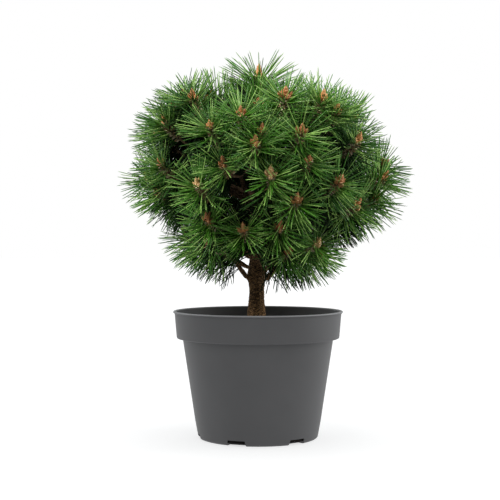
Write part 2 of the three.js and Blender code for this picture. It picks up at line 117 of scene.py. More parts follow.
# the camera sees plain white walls, and the plant is lit by walls that glow more here than there
room = bpy.data.worlds.new("white_room")
room.use_nodes = True
walls = room.node_tree
seen = walls.nodes["Background"]
seen.inputs["Color"].default_value = WHITE
lit = walls.nodes.new("ShaderNodeBackground")
lit.inputs["Color"].default_value = ROOM_TINT
facing = walls.nodes.new("ShaderNodeTexCoord")
axes = walls.nodes.new("ShaderNodeSeparateXYZ")
walls.links.new(facing.outputs["Generated"], axes.inputs["Vector"])
sideways = worked_out(walls, "MULTIPLY", axes.outputs["X"], axes.outputs["X"])
glow = ROOM_GLOW
for reading, faint, full, strength in (
    (sideways, 0, 1, 0.30),
    (axes.outputs["Y"], -0.1, 1, 0.70),
    (axes.outputs["Z"], -0.1, -0.8, 0.80),
    (axes.outputs["Z"], 0.1, 0.8, 0.35),
):
    glow = worked_out(walls, "ADD", glow, ranged(walls, reading, faint, full, 0, strength))
walls.links.new(glow, lit.inputs["Strength"])
ray = walls.nodes.new("ShaderNodeLightPath")
either = walls.nodes.new("ShaderNodeMixShader")
walls.links.new(ray.outputs["Is Camera Ray"], either.inputs["Fac"])
walls.links.new(lit.outputs["Background"], either.inputs[1])
walls.links.new(seen.outputs["Background"], either.inputs[2])
walls.links.new(either.outputs["Shader"], walls.nodes["World Output"].inputs["Surface"])
scene.world = room
scene.view_settings.view_transform = "Standard"

# the side lamps are screened off the floor and the pot, so that they draw no hard shadow there
screened = bpy.data.collections.new("screened_from_side_lamps")
pot_only = bpy.data.collections.new("lit_by_front_lamp")


def screen_off(piece):
    screened.objects.link(piece)
    for part in screened.collection_objects:
        part.light_linking.link_state = "EXCLUDE"


def far_lamp(name, bearing, height, strength, spread, lights=None):
    """A wide soft lamp far off, at a bearing from +X and a height, both in degrees."""
    bpy.ops.object.light_add(type="SUN", location=(0, 0, 2))
    lamp = bpy.context.object
    lamp.name = name
    lamp.data.energy = strength
    lamp.data.angle = math.radians(spread)
    lamp.rotation_euler = (0, math.radians(90 - height), math.radians(bearing))
    lamp.light_linking.receiver_collection = lights


def edge_strip(name, place, power):
    """A tall soft lamp beside the pot and a little behind it."""
    bpy.ops.object.light_add(type="AREA", location=place)
    strip = bpy.context.object
    strip.name = name
    strip.data.shape = "RECTANGLE"
    strip.data.size = STRIP_WIDTH
    strip.data.size_y = STRIP_HEIGHT
    strip.data.energy = power
    strip.rotation_euler = (STRIP_AIM - Vector(place)).to_track_quat("-Z", "Y").to_euler()


screen_off(floor)
far_lamp("key_lamp", -158, 40, 4.7, 9, screened)
far_lamp("fill_lamp", -14, 36, 3.4, 12, screened)
far_lamp("top_lamp", -90, 84, 0.75, 30)
far_lamp("front_lamp", -80, 34, 0.75, 45, pot_only)
edge_strip("left_edge_strip", (-1.3, 0.2, 0.4), 1.3)
edge_strip("right_edge_strip", (1.3, 0.2, 0.4), 4.2)


# ---- Pot ----
# A round nursery pot of 3 litres, injection moulded in dark grey polypropylene: a tapered body,
# a stepped collar with a thin lip turned out at its top, and slots cut through its bottom edge.
POT_HEIGHT = 0.142
RIM_RADIUS = 0.095
LIP_WIDTH = 0.0013
COLLAR_FOOT = 0.1115
COLLAR_FOOT_RADIUS = 0.0911
BODY_TOP_RADIUS = 0.0845
FOOT_RADIUS = 0.0675
FOOT_ROUNDING = 0.0035
COLLAR_ROUNDING = 0.0015
POT_WALL = 0.0018
POT_FLOOR = 0.0026
POT_SIDES = 128
POT_CREASE = 32  # degrees, past which an edge stays sharp
SLOTS = 6
FIRST_SLOT = -51  # degrees from +X
SLOT_SIZE = (0.022, 0.020, 0.0064)
SLOT_MIDDLE = 0.0028
SLOT_FLARE = 1.1
SLOT_ROUNDING = 0.0006


def deselect():
    if bpy.context.object and bpy.context.object.mode != "OBJECT":
        bpy.ops.object.mode_set(mode="OBJECT")
    bpy.ops.object.select_all(action="DESELECT")


def pick(piece):
    deselect()
    piece.select_set(True)
    bpy.context.view_layer.objects.active = piece


def apply_modifier(piece, kind, **settings):
    modifier = piece.modifiers.new(kind.lower(), kind)
    for setting, value in settings.items():
        setattr(modifier, setting, value)
    pick(piece)
    bpy.ops.object.modifier_apply(modifier=modifier.name)


def smooth_shading(piece, crease):
    pick(piece)
    bpy.ops.object.shade_smooth_by_angle(angle=math.radians(crease))


def body_radius(height):
    return FOOT_RADIUS + (BODY_TOP_RADIUS - FOOT_RADIUS) * height / COLLAR_FOOT


def collar_radius(height):
    share = (height - COLLAR_FOOT) / (POT_HEIGHT - COLLAR_FOOT)
    return COLLAR_FOOT_RADIUS + (RIM_RADIUS - LIP_WIDTH - COLLAR_FOOT_RADIUS) * share


def rounded(edge, foot, radius, steps):
    """A quarter round under an outside edge, as (radius, height) from its foot out to its side."""
    turns = [math.pi / 2 * i / steps for i in range(steps + 1)]
    return [(edge - radius * (1 - math.sin(a)), foot + radius * (1 - math.cos(a))) for a in turns]


def turn_up(name, profile, sides):
    """A closed round body: a ring drawn out and resized from one (radius, height) to the next."""
    deselect()
    radius, height = profile[0]
    bpy.ops.mesh.primitive_circle_add(
        vertices=sides, radius=radius, fill_type="NOTHING", location=(0, 0, height)
    )
    body = bpy.context.object
    body.name = name
    bpy.ops.object.transform_apply(location=True, rotation=True, scale=True)
    bpy.ops.object.mode_set(mode="EDIT")
    bpy.ops.mesh.select_mode(type="VERT")
    bpy.ops.mesh.select_all(action="SELECT")
    bpy.ops.mesh.edge_face_add()
    bpy.ops.mesh.select_all(action="SELECT")
    bpy.ops.mesh.poke()
    bpy.ops.mesh.select_all(action="DESELECT")
    bpy.ops.mesh.select_non_manifold()
    for next_radius, next_height in profile[1:]:
        rise = {"value": (0, 0, next_height - height)}
        bpy.ops.mesh.extrude_edges_move(TRANSFORM_OT_translate=rise)
        grow = next_radius / radius
        bpy.ops.transform.resize(value=(grow, grow, 1), center_override=(0, 0, next_height))
        radius, height = next_radius, next_height
    bpy.ops.mesh.edge_face_add()
    bpy.ops.mesh.poke()
    bpy.ops.mesh.select_all(action="SELECT")
    bpy.ops.mesh.normals_make_consistent(inside=False)
    bpy.ops.object.mode_set(mode="OBJECT")
    return body


ledge = COLLAR_FOOT + POT_WALL
underside = [(0.02, 0), (0.045, 0), (0.06, 0)] + rounded(FOOT_RADIUS, 0, FOOT_ROUNDING, 6)
outer_wall = [(body_radius(h), h) for h in (0.02, 0.045, 0.07, 0.09, 0.107)]
under_collar = [(BODY_TOP_RADIUS - 0.0002, 0.1106), (BODY_TOP_RADIUS + 0.0006, COLLAR_FOOT)]
collar = rounded(COLLAR_FOOT_RADIUS + 0.0001, COLLAR_FOOT, COLLAR_ROUNDING, 5)
collar += [(collar_radius(h), h) for h in (0.120, 0.130, 0.1393)]
lip = [
    (RIM_RADIUS - 0.0003, 0.13985),
    (RIM_RADIUS, 0.1404),
    (RIM_RADIUS, 0.1413),
    (RIM_RADIUS - 0.0003, 0.1418),
    (RIM_RADIUS - 0.0008, 0.142),
    (RIM_RADIUS - 0.0023, 0.142),
    (RIM_RADIUS - 0.0029, 0.1417),
    (collar_radius(0.141) - POT_WALL, 0.141),
]
inner_wall = [(collar_radius(h) - POT_WALL, h) for h in (0.130, 0.120, ledge + 0.001)]
inner_wall += [(COLLAR_FOOT_RADIUS - POT_WALL - 0.001, ledge)]
inner_wall += [(body_radius(ledge) - POT_WALL, ledge)]
inner_wall += [(body_radius(h) - POT_WALL, h) for h in (0.09, 0.05, 0.01, POT_FLOOR + 0.002)]
inner_floor = [(body_radius(0) - POT_WALL - 0.002, POT_FLOOR), (0.03, POT_FLOOR)]
pot = turn_up(
    "moulded_pot",
    underside + outer_wall + under_collar + collar + lip + inner_wall + inner_floor,
    POT_SIDES,
)

# each slot is cut away by a rounded wedge with its narrow side up, swung round the axis
for number in range(SLOTS):
    deselect()
    bearing = math.radians(FIRST_SLOT + 360 / SLOTS * number)
    bpy.ops.mesh.primitive_cube_add(size=1, location=(FOOT_RADIUS, 0, SLOT_MIDDLE))
    cutter = bpy.context.object
    cutter.scale = SLOT_SIZE
    bpy.ops.object.transform_apply(location=True, rotation=True, scale=True)
    bpy.ops.object.mode_set(mode="EDIT")
    bpy.ops.mesh.select_mode(type="FACE")
    bpy.ops.mesh.select_all(action="DESELECT")
    bpy.ops.object.mode_set(mode="OBJECT")
    for face in cutter.data.polygons:
        face.select = face.normal.z < -0.5
    bpy.ops.object.mode_set(mode="EDIT")
    bpy.ops.transform.resize(value=(1, SLOT_FLARE, 1))
    bpy.ops.mesh.select_all(action="SELECT")
    bpy.ops.mesh.bevel(offset=SLOT_ROUNDING, segments=2, affect="EDGES")
    bpy.ops.mesh.select_all(action="SELECT")
    # with no window open, rotate turns the other way
    bpy.ops.transform.rotate(value=-bearing, orient_axis="Z", center_override=(0, 0, 0))
    bpy.ops.object.mode_set(mode="OBJECT")
    apply_modifier(pot, "BOOLEAN", operation="DIFFERENCE", object=cutter)
    bpy.data.objects.remove(cutter)
smooth_shading(pot, POT_CREASE)


def textured_material(name):
    """A material with its nodes, the sockets of its finish and the place on its piece."""
    material = bpy.data.materials.new(name)
    material.use_nodes = True
    tree = material.node_tree
    place = tree.nodes.new("ShaderNodeTexCoord").outputs["Object"]
    return material, tree, tree.nodes["Principled BSDF"].inputs, place


def mottling(tree, place, scale, detail, roughness=0.5):
    noise = tree.nodes.new("ShaderNodeTexNoise")
    noise.inputs["Scale"].default_value = scale
    noise.inputs["Detail"].default_value = detail
    noise.inputs["Roughness"].default_value = roughness
    tree.links.new(place, noise.inputs["Vector"])
    return noise.outputs["Fac"]


def two_tones(tree, reading, start, dark, end, pale):
    """A reading as a colour: dark up to the start, pale from the end, and blended between."""
    tone = tree.nodes.new("ShaderNodeValToRGB")
    for stop, position, colour in zip(tone.color_ramp.elements, (start, end), (dark, pale)):
        stop.position = position
        stop.color = (*colour, 1)
    tree.links.new(reading, tone.inputs["Fac"])
    return tone.outputs["Color"]


def blended(tree, share, first, second):
    """The first colour run into the second; each is a reading or a plain colour."""
    blend = tree.nodes.new("ShaderNodeMix")
    blend.data_type = "RGBA"
    tree.links.new(share, blend.inputs["Factor"])
    for socket, colour in (("A", first), ("B", second)):
        if isinstance(colour, tuple):
            blend.inputs[socket].default_value = (*colour, 1)
        else:
            tree.links.new(colour, blend.inputs[socket])
    return blend.outputs["Result"]


def height_on(tree, place):
    split = tree.nodes.new("ShaderNodeSeparateXYZ")
    tree.links.new(place, split.inputs["Vector"])
    return split.outputs["Z"]


def raise_relief(tree, reading, strength, depth, finish):
    relief = tree.nodes.new("ShaderNodeBump")
    relief.inputs["Strength"].default_value = strength
    relief.inputs["Distance"].default_value = depth
    tree.links.new(reading, relief.inputs["Height"])
    tree.links.new(relief.outputs["Normal"], finish["Normal"])


def plastic_of_the_pot():
    material, tree, finish, place = textured_material("moulded_grey_plastic")
    # cloudy colour, as pigment and handling leave it
    clouds = mottling(tree, place, 16, 5)
    grey = two_tones(tree, clouds, 0.35, (0.076, 0.075, 0.077), 0.68, (0.089, 0.088, 0.090))
    # painted highlight: the top of the lip is made pale, as if it caught the light
    painted_lip_highlight = ranged(tree, height_on(tree, place), 0.1405, 0.1413)
    tree.links.new(blended(tree, painted_lip_highlight, grey, (0.33, 0.33, 0.335)), finish["Base Color"])
    # the satin of the mould is uneven too, and its grain is fine
    tree.links.new(ranged(tree, clouds, 0, 1, 0.46, 0.60), finish["Roughness"])
    raise_relief(tree, mottling(tree, place, 1400, 2), 0.12, 0.0002, finish)
    finish["Specular IOR Level"].default_value = 0.4
    return material


pot.data.materials.append(plastic_of_the_pot())
screen_off(pot)
pot_only.objects.link(pot)
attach(pot, "root")
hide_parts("pot")


# ---- Potting mix ----
# Damp peat and composted bark, filled to two centimetres under the lip and settled a little at
# the wall. Its top is uneven, and crumbs and chips of bark lie loose on it.
MIX_TOP = 0.121
MIX_SETTLING = 0.0016
MIX_RADIUS = 0.0875
MIX_GAP = 0.0003  # to the pot's floor and its ledge
MIX_INSET = 0.0022
MIX_SIDES = 180
MIX_RING = 0.0025
MIX_RINGS = 34
MIX_CREASE = 50
HOLLOW_SIZE, HOLLOW_DEPTH = 0.016, 0.0022
LUMP_SIZE, LUMP_HEIGHT = 0.0035, 0.0018


def mix_level(outward):
    """How high the mix lies at a distance from the pot's axis."""
    return MIX_TOP - MIX_SETTLING * (outward / MIX_RADIUS) ** 3


def cloud_texture(name, size):
    texture = bpy.data.textures.new(name, "CLOUDS")
    texture.noise_scale = size
    texture.noise_depth = 2
    return texture


def roughen(piece, texture, strength, group=""):
    apply_modifier(
        piece, "DISPLACE", texture=texture, strength=strength, mid_level=0.5, vertex_group=group
    )


mix_floor = POT_FLOOR + MIX_GAP
mix_side = [(r, mix_floor) for r in (0.03, 0.06, body_radius(mix_floor) - MIX_INSET)]
mix_side += [(body_radius(h) - MIX_INSET, h) for h in (0.03, 0.06, 0.09, ledge + MIX_GAP)]
mix_side += [(COLLAR_FOOT_RADIUS - 0.0023, ledge + MIX_GAP), (0.0892, MIX_TOP - 0.0022)]
mix_rings = [MIX_RADIUS - MIX_RING * i for i in range(MIX_RINGS)]
mix = turn_up(
    "potting_fill", mix_side + [(r, mix_level(r) - 0.0003) for r in mix_rings], MIX_SIDES
)
top_of_mix = mix.vertex_groups.new(name="top")
for v in mix.data.vertices:
    if v.co.z > MIX_TOP - 0.004 and v.co.xy.length < 0.088:
        top_of_mix.add([v.index], 1.0, "REPLACE")
roughen(mix, cloud_texture("mix_hollows", HOLLOW_SIZE), HOLLOW_DEPTH, "top")
roughen(mix, cloud_texture("mix_lumps", LUMP_SIZE), LUMP_HEIGHT, "top")
smooth_shading(mix, MIX_CREASE)


def earth_of_the_mix():
    material, tree, finish, place = textured_material("peat_and_bark")
    fibres = mottling(tree, place, 420, 8, 0.7)
    brown = two_tones(tree, fibres, 0.36, (0.010, 0.007, 0.005), 0.72, (0.075, 0.046, 0.028))
    # painted shade: the colour darkens to near black towards the pot's floor, where the slots let
    # it be seen
    painted_shade_by_height = ranged(tree, height_on(tree, place), 0.010, 0.060, 0.06, 1)
    shade_darkened_brown = tree.nodes.new("ShaderNodeVectorMath")
    shade_darkened_brown.operation = "SCALE"
    tree.links.new(brown, shade_darkened_brown.inputs[0])
    tree.links.new(painted_shade_by_height, shade_darkened_brown.inputs["Scale"])
    tree.links.new(shade_darkened_brown.outputs["Vector"], finish["Base Color"])
    raise_relief(tree, fibres, 0.8, 0.0008, finish)
    finish["Roughness"].default_value = 0.95
    finish["Specular IOR Level"].default_value = 0.2
    return material


mix.data.materials.append(earth_of_the_mix())
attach(mix, "root")
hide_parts("potting_mix")


# ---- Trunk and boughs ----
# The bare trunk flares at its roots, swells where the lowest boughs leave it and runs up through
# the crown. Young boughs leave it in five whorls, and each turns up to where it forks into
# shoots. All of it carries grey-brown bark that has split into small scales.
TRUNK_STATIONS = [  # height, lean to the right, radius
    (0.1210, -0.0019, 0.0129),
    (0.1290, -0.0019, 0.0117),
    (0.1420, -0.0018, 0.0111),
    (0.1560, -0.0016, 0.0096),
    (0.1670, -0.0014, 0.0094),
    (0.1760, -0.0015, 0.0108),
    (0.1840, -0.0022, 0.0110),
    (0.1960, -0.0032, 0.0076),
    (0.2160, -0.0032, 0.0063),
    (0.2450, -0.0016, 0.0060),
    (0.2840, 0.0004, 0.0049),
    (0.3260, 0.0012, 0.0037),
    (0.3620, 0.0010, 0.0029),
]
TRUNK_CUT = 0.1206
ROOT_RIDGES = (-70, 40, 165)  # degrees from +X
RIDGE_TOP, RIDGE_FOOT = (0.133, 0.0075), (0.1205, 0.0125)  # height, and distance off the axis
RIDGE_RADII = [0.0030, 0.0044]
LIMB_GRAIN = 0.00085  # the size of the grid on which all limbs are fused
OLD_WOOD_TOP = 0.24
OLD_WOOD_FADE = 0.04
OLD_WOOD_RADIUS = 0.016
SCALE_SIZE, SCALE_RELIEF = 0.0042, 0.0022
CRUMB_SIZE, CRUMB_RELIEF = 0.0016, 0.0010
CROWN_CENTRE = Vector((0.009, 0, 0.285))
CROWN_REACH = 0.131
CROWN_SAG = 0.24
CROWN_SHOULDER = 0.05
SHOOT_AIM = Vector((0.002, 0, 0.204))
AIM_DROP = 0.030
WHORL_STAGGER = 0.008
FORK_DEPTH = 0.050
BEND_OUT, BEND_UP = 0.6, 0.3  # where a bough bends, on the way out and up to its fork
BOUGH_RADIUS = 0.0036
TOP_BOUGH_RADIUS = 0.0030
FORK_RADIUS = 0.0022
SHOOT_SINK = 0.004
SHOOT_BEND = 0.55
RING_RADIUS = [0, 0, 0.020, 0.024, 0.028]  # by the number of shoots in the ring
STRAY_TURN = 16  # degrees, for a shoot's place in its ring
STRAY_RADIUS = 0.2
STRAY_DEPTH = 0.008
# each whorl: its name, where it leaves the trunk and its boughs, and for each bough the bearing
# and elevation of its shoots on the crown, how many they are and how their ring is turned
WHORLS = [
    ("low", 0.172, [
        (-146, -38, 2, 0), (-74, -44, 1, 0), (-45, -43, 2, 145),
        (52, -40, 2, 30), (92, -37, 2, 100), (148, -37, 2, 30),
    ]),
    ("second", 0.199, [
        (-124, -13, 2, 88), (-94, -28, 2, 10), (-28, -12, 2, 195),
        (42, -9, 2, 60), (98, -14, 3, 30), (132, -8, 2, 45),
    ]),
    ("third", 0.224, [
        (-157, 1, 2, 50), (-82, -6, 2, -45), (-63, 3, 2, -35), (-8, 4, 2, 25),
        (62, 14, 3, 90), (108, 13, 2, 30), (163, 6, 3, -10),
    ]),
    ("fourth", 0.254, [
        (-107, 18, 4, 68), (-84, 20, 2, -8), (-47, 24, 2, 120),
        (30, 19, 2, 70), (156, 30, 2, 10), (-164, 30, 2, 45),
    ]),
    ("top", 0.292, [
        (-147, 35, 3, 10), (-70, 35, 2, -5), (48, 34, 3, 30), (112, 38, 3, 0),
    ]),
]
LEADER_FOOT = Vector((0.001, 0, 0.3623))
LEADER_BUD = Vector((0.001, 0, 0.403))
LEADER_LIFT = Vector((0, 0, 0.006))
# the shoots round the leader: bearing, elevation and how far inside the crown
LEADER_RING = [
    (-98, 51, 0.034), (-5, 36, 0.018), (-18, 60, 0.036), (95, 56, 0.022), (175, 57, 0.022),
]


def steady_random(seed):
    """Draws from 0 to 1 that are the same each time; the first three are thrown away."""
    state = seed * 7919 % 4294967296
    draw = 0
    while True:
        state = (state * 1664525 + 1013904223) % 4294967296
        draw += 1
        if draw > 3:
            yield state / 4294967296


def crown_reach(elevation):
    rise = math.radians(elevation)
    sag = CROWN_SAG * max(0, -math.sin(rise))
    shoulder = CROWN_SHOULDER * max(0, math.sin(2 * rise))
    return CROWN_REACH * (1 - sag + shoulder)


def on_crown(bearing, elevation, outward=0.0):
    turn, rise = math.radians(bearing), math.radians(elevation)
    way = Vector((math.cos(rise) * math.cos(turn), math.cos(rise) * math.sin(turn), math.sin(rise)))
    return CROWN_CENTRE + way * (crown_reach(elevation) + outward)


def shoot_heading(bud):
    """Away from the crown's heart, which lies lower for the drooping boughs at its underside."""
    droop = max(0, (CROWN_CENTRE.z - bud.z) / CROWN_REACH)
    return (bud - SHOOT_AIM + Vector((0, 0, AIM_DROP * droop))).normalized()


def trunk_axis(height):
    heights, leans, _ = zip(*TRUNK_STATIONS)
    return Vector((np.interp(height, heights, leans), 0, height))


def ring_of_buds(bough, seed):
    bearing, elevation, count, turn = bough
    draws = steady_random(seed)
    reach = crown_reach(elevation)
    level_reach = reach * math.cos(math.radians(elevation))
    buds = []
    for i in range(count):
        angle = math.radians(turn + 360 * i / count + (next(draws) - 0.5) * STRAY_TURN)
        radius = RING_RADIUS[count] * (1 + (next(draws) - 0.5) * STRAY_RADIUS)
        sideways = math.degrees(radius * math.cos(angle) / level_reach)
        upwards = math.degrees(radius * math.sin(angle) / reach)
        outward = (next(draws) - 0.5) * STRAY_DEPTH
        buds.append(on_crown(bearing + sideways, elevation + upwards, outward))
    return buds


# each mass of needles has one bough and its shoots, all given as (start, bend, end)
masses = []
for whorl, (tier, leaves, boughs) in enumerate(WHORLS):
    for spot, bough in enumerate(boughs):
        seed = 100 * whorl + spot + 1
        middle = on_crown(bough[0], bough[1])
        fork = middle - shoot_heading(middle) * FORK_DEPTH
        odd_one_out = spot == len(boughs) - 1 and spot % 3 == 0
        foot = trunk_axis(leaves + WHORL_STAGGER * (1 if odd_one_out else spot % 3))
        bend = foot + Vector((fork.x - foot.x, fork.y - foot.y, 0)) * BEND_OUT
        bend.z += BEND_UP * (fork.z - foot.z)
        start = fork - (fork - bend).normalized() * SHOOT_SINK
        shoots = []
        for bud in ring_of_buds(bough, seed):
            straight = SHOOT_BEND * (bud - start).length
            shoots.append((start, bud - shoot_heading(bud) * straight, bud))
        masses.append({
            "tier": tier,
            "name": f"{tier}_{spot + 1}",
            "bough": (foot, bend, fork),
            "shoots": shoots,
        })
leader_shoots = [(LEADER_FOOT, (LEADER_FOOT + LEADER_BUD) / 2, LEADER_BUD)]
for bearing, elevation, inside in LEADER_RING:
    bud = on_crown(bearing, elevation, -inside)
    bend = (LEADER_FOOT + bud) / 2 - LEADER_LIFT
    leader_shoots.append((LEADER_FOOT + LEADER_LIFT, bend, bud))
masses.append({"tier": "top", "name": "leader", "bough": None, "shoots": leader_shoots})


def curve_limb(name, knots, radii):
    """A round limb through bezier knots (point, handle before, handle after), as a mesh."""
    deselect()
    bpy.ops.curve.primitive_bezier_curve_add(location=(0, 0, 0))
    limb = bpy.context.object
    limb.name = name
    limb.data.dimensions = "3D"
    limb.data.resolution_u = 10
    limb.data.bevel_depth = 1.0
    limb.data.bevel_resolution = 3
    limb.data.use_fill_caps = True
    points = limb.data.splines[0].bezier_points
    points.add(len(knots) - len(points))
    for point, (place, before, after), radius in zip(points, knots, radii):
        point.handle_left_type = point.handle_right_type = "FREE"
        point.co, point.handle_left, point.handle_right = place, before, after
        point.radius = radius
    bpy.ops.object.convert(target="MESH")
    return limb


trunk_places = [Vector((lean, 0, height)) for height, lean, _ in TRUNK_STATIONS]
trunk_knots = []
for i, place in enumerate(trunk_places):
    before, after = trunk_places[max(i - 1, 0)], trunk_places[min(i + 1, len(trunk_places) - 1)]
    way = (after - before).normalized()
    trunk_knots.append((
        place,
        place - way * (place - before).length / 3,
        place + way * (after - place).length / 3,
    ))
limbs = [curve_limb("trunk_limb", trunk_knots, [radius for _, _, radius in TRUNK_STATIONS])]
for mass in masses:
    if mass["bough"]:
        foot, bend, fork = mass["bough"]
        knots = [(foot, foot, foot.lerp(bend, 2 / 3)), (fork, fork.lerp(bend, 2 / 3), fork)]
        thick = TOP_BOUGH_RADIUS if mass["tier"] == "top" else BOUGH_RADIUS
        limbs.append(curve_limb("bough_limb", knots, [thick, FORK_RADIUS]))

# the root flare: three low ridges that run into the mix
for bearing in ROOT_RIDGES:
    turn = math.radians(bearing)
    out = Vector((math.cos(turn), math.sin(turn), 0))
    top, foot = (trunk_axis(height) + out * off for height, off in (RIDGE_TOP, RIDGE_FOOT))
    knots = [(top, top, top.lerp(foot, 0.4)), (foot, foot.lerp(top, 0.4), foot)]
    limbs.append(curve_limb("root_flare", knots, RIDGE_RADII))

deselect()
for limb in limbs:
    limb.select_set(True)
wood = limbs[0]
bpy.context.view_layer.objects.active = wood
bpy.ops.object.join()
wood.name = "trunk_and_boughs"
apply_modifier(wood, "REMESH", mode="VOXEL", voxel_size=LIMB_GRAIN)
apply_modifier(wood, "SMOOTH", iterations=3)

# bark scales stand out on the old wood of the stem and fade into the crown
scales = bpy.data.textures.new("bark_scales", "VORONOI")
scales.noise_scale = SCALE_SIZE
scales.distance_metric = "DISTANCE"
scales.weight_1, scales.weight_2 = -1.0, 1.0
old_wood = wood.vertex_groups.new(name="old")
for v in wood.data.vertices:
    off_axis = (v.co.xy - trunk_axis(v.co.z).xy).length
    if v.co.z < OLD_WOOD_TOP and off_axis < OLD_WOOD_RADIUS:
        weight = min(1.0, (OLD_WOOD_TOP - v.co.z) / OLD_WOOD_FADE)
        old_wood.add([v.index], weight, "REPLACE")
roughen(wood, scales, SCALE_RELIEF, "old")
roughen(wood, cloud_texture("bark_crumbs", CRUMB_SIZE), CRUMB_RELIEF)

# the foot is cut flat inside the mix
bpy.ops.object.mode_set(mode="EDIT")
bpy.ops.mesh.select_all(action="SELECT")
bpy.ops.mesh.bisect(
    plane_co=(0, 0, TRUNK_CUT), plane_no=(0, 0, 1), clear_inner=True, use_fill=True
)
bpy.ops.object.mode_set(mode="OBJECT")
bpy.ops.object.shade_smooth()


def scaly_bark():
    material, tree, finish, place = textured_material("scaly_bark")
    # scales are wider than high
    stretch = tree.nodes.new("ShaderNodeMapping")
    stretch.inputs["Scale"].default_value = (1, 1, 3.0)
    tree.links.new(place, stretch.inputs["Vector"])
    plates = tree.nodes.new("ShaderNodeTexVoronoi")
    plates.feature = "DISTANCE_TO_EDGE"
    plates.inputs["Scale"].default_value = 260
    tree.links.new(stretch.outputs["Vector"], plates.inputs["Vector"])
    crack = ranged(tree, plates.outputs["Distance"], 0, 0.24)
    fleck = mottling(tree, stretch.outputs["Vector"], 330, 6, 0.65)
    tone = two_tones(tree, fleck, 0.36, (0.118, 0.062, 0.024), 0.66, (0.640, 0.380, 0.165))
    # painted shade: from the lowest whorls up, inside the crown, the bark runs to the near-black
    # colour of its cracks, darker than the bark of the stem
    painted_crown_shade = ranged(tree, height_on(tree, place), 0.205, 0.235, 1, 0.25)
    cracks_and_painted_shade = worked_out(tree, "MULTIPLY", crack, painted_crown_shade)
    tree.links.new(blended(tree, cracks_and_painted_shade, (0.022, 0.012, 0.006), tone), finish["Base Color"])
    rise = worked_out(tree, "MULTIPLY_ADD", crack, 0.5, fleck)
    raise_relief(tree, rise, 0.9, 0.0009, finish)
    finish["Roughness"].default_value = 0.85
    finish["Specular IOR Level"].default_value = 0.25
    return material


wood.data.materials.append(scaly_bark())
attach(wood, "root")
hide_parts("trunk", *[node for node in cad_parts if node.startswith("bough_")])


# ---- Shoots ----
# The last two years' growth: slender young wood that the boughs fork into, still ridged by the
# bases of the scale leaves that each pair of needles stood in.
SHOOT_SIDES = 7
SHOOT_STEP = 0.0016
SHOOT_TWIST = 0.18
SHOOT_RADIUS = 0.0021
SHOOT_TAPER = 0.0005
LEAF_RIDGE = 0.00025


def along(curve, share):
    """Points and headings at shares of a (start, bend, end) curve."""
    start, bend, end = (np.array(point) for point in curve)
    share = np.atleast_1d(share)[:, None]
    points = (1 - share) ** 2 * start + 2 * share * (1 - share) * bend + share**2 * end
    headings = 2 * (1 - share) * (bend - start) + 2 * share * (end - bend)
    return points, headings / np.linalg.norm(headings, axis=1)[:, None]


def square_to(headings):
    """Two directions square to each heading and to each other."""
    pole = np.where(np.abs(headings[:, 2:3]) < 0.9, [[0.0, 0.0, 1.0]], [[1.0, 0.0, 0.0]])
    first = np.cross(headings, pole)
    first /= np.linalg.norm(first, axis=1)[:, None]
    return first, np.cross(headings, first)


def band(here, there, sides):
    """The faces between two rings of points, each ring given by its first point."""
    besides = [(side + 1) % sides for side in range(sides)]
    return [(here + s, here + b, there + b, there + s) for s, b in enumerate(besides)]


def mesh_piece(name, points, faces, materials, tints=None, smooth=True):
    mesh = bpy.data.meshes.new(name)
    mesh.from_pydata(points, [], faces)
    for material in materials:
        mesh.materials.append(material)
    if tints is not None:
        mesh.polygons.foreach_set("material_index", np.asarray(tints, np.int32))
    mesh.polygons.foreach_set("use_smooth", np.full(len(mesh.polygons), smooth))
    mesh.update()
    piece = bpy.data.objects.new(name, mesh)
    scene.collection.objects.link(piece)
    return piece


twig_points, twig_faces = [], []
for mass in masses:
    for shoot in mass["shoots"]:
        rings = int((shoot[2] - shoot[0]).length / SHOOT_STEP)
        shares = np.linspace(0, 1, rings)
        centres, headings = along(shoot, shares)
        across, over = square_to(headings)
        first = len(twig_points)
        last = first + (rings - 1) * SHOOT_SIDES
        for ring in range(rings):
            for side in range(SHOOT_SIDES):
                turn = 2 * math.pi * (side / SHOOT_SIDES + SHOOT_TWIST * ring)
                ridge = LEAF_RIDGE if (ring + side) % 3 == 0 else 0.0
                radius = SHOOT_RADIUS - SHOOT_TAPER * shares[ring] + ridge
                out = across[ring] * math.cos(turn) + over[ring] * math.sin(turn)
                twig_points.append(tuple(centres[ring] + out * radius))
        for here in range(first, last, SHOOT_SIDES):
            twig_faces += band(here, here + SHOOT_SIDES, SHOOT_SIDES)
        twig_faces.append(tuple(first + side for side in reversed(range(SHOOT_SIDES))))
        twig_faces.append(tuple(last + side for side in range(SHOOT_SIDES)))


def young_bark():
    material, tree, finish, place = textured_material("young_bark")
    fleck = mottling(tree, place, 500, 3)
    brown = two_tones(tree, fleck, 0.35, (0.075, 0.042, 0.020), 0.68, (0.240, 0.150, 0.075))
    tree.links.new(brown, finish["Base Color"])
    finish["Roughness"].default_value = 0.75
    return material


twigs = mesh_piece("young_shoots", twig_points, twig_faces, [young_bark()])
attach(twigs, "root")


# ---- Crumbs and bark chips ----
# What lies loose on the mix: peat crumbs a few millimetres across and flat chips of composted
# pine bark up to a centimetre long, strewn thinly between the trunk and the wall.
CRUMBS = 320
CHIPS = 90
STREWN_RADIUS = 0.082
CRUMB_REACH, CRUMB_THICKNESS = (0.0008, 0.0019), (0.6, 0.9)  # thickness as a share of the reach
CHIP_REACH, CHIP_THICKNESS = (0.0022, 0.0050), (0.0005, 0.0009)
LOOSE_TILT = 0.35
CHIP_OUTLINE = [
    (1.0, 0.0), (0.45, 0.62), (-0.55, 0.70), (-1.0, 0.05), (-0.35, -0.66), (0.60, -0.55),
]
CHIP_SIDES = len(CHIP_OUTLINE)

